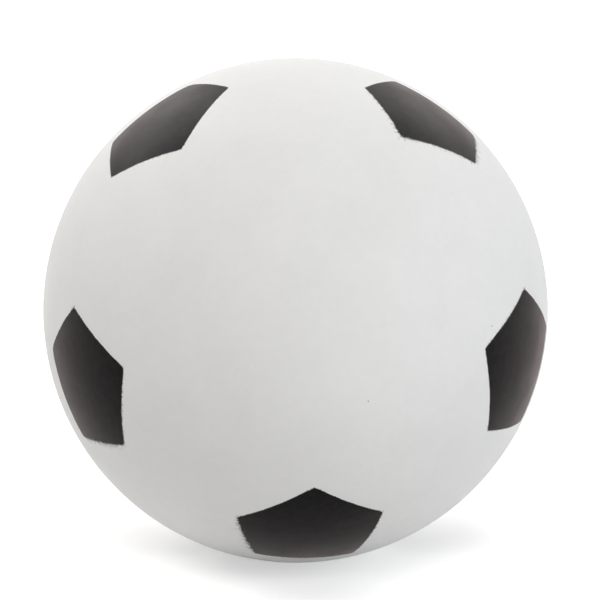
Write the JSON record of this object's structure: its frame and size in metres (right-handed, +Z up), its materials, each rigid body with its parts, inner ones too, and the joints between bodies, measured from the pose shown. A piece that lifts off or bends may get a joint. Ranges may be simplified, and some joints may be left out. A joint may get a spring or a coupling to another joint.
{
  "type": "mini soccer ball",
  "caption": "Small inflatable soccer ball: smooth seamless white cover with sprayed black pentagons, an air bladder inside and a push-in needle valve.",
  "frame": {"origin": "centre of the ball", "axes": "+Z up as the ball lies, with the bare pole of the pattern towards -Y and raised 16 degrees, and the valve on the far side, towards +Y and 16 degrees down"},
  "size_m": [0.127, 0.127, 0.127],
  "materials": {
    "white_rubber": "matte",
    "black_paint": "satin",
    "bladder_rubber": "matte",
    "valve_rubber": "matte"
  },
  "bodies": {
    "ball": {"cover": "white_rubber", "bladder": "bladder_rubber", "pentagon_front_1": "black_paint", "pentagon_front_2": "black_paint", "pentagon_front_3": "black_paint", "pentagon_front_4": "black_paint", "pentagon_front_5": "black_paint", "pentagon_rear_1": "black_paint", "pentagon_rear_2": "black_paint", "pentagon_rear_3": "black_paint", "pentagon_rear_4": "black_paint", "pentagon_rear_5": "black_paint", "pentagon_valve": "black_paint", "valve_housing": "white_rubber"},
    "valve_core": {"valve_core": "valve_rubber"}
  },
  "joints": [
    {"name": "valve_core_pull", "type": "slide", "parent": "ball", "child": "valve_core", "axis": [-0.0349, 0.9603, -0.2769], "range_m": [0, 0.014]}
  ]
}
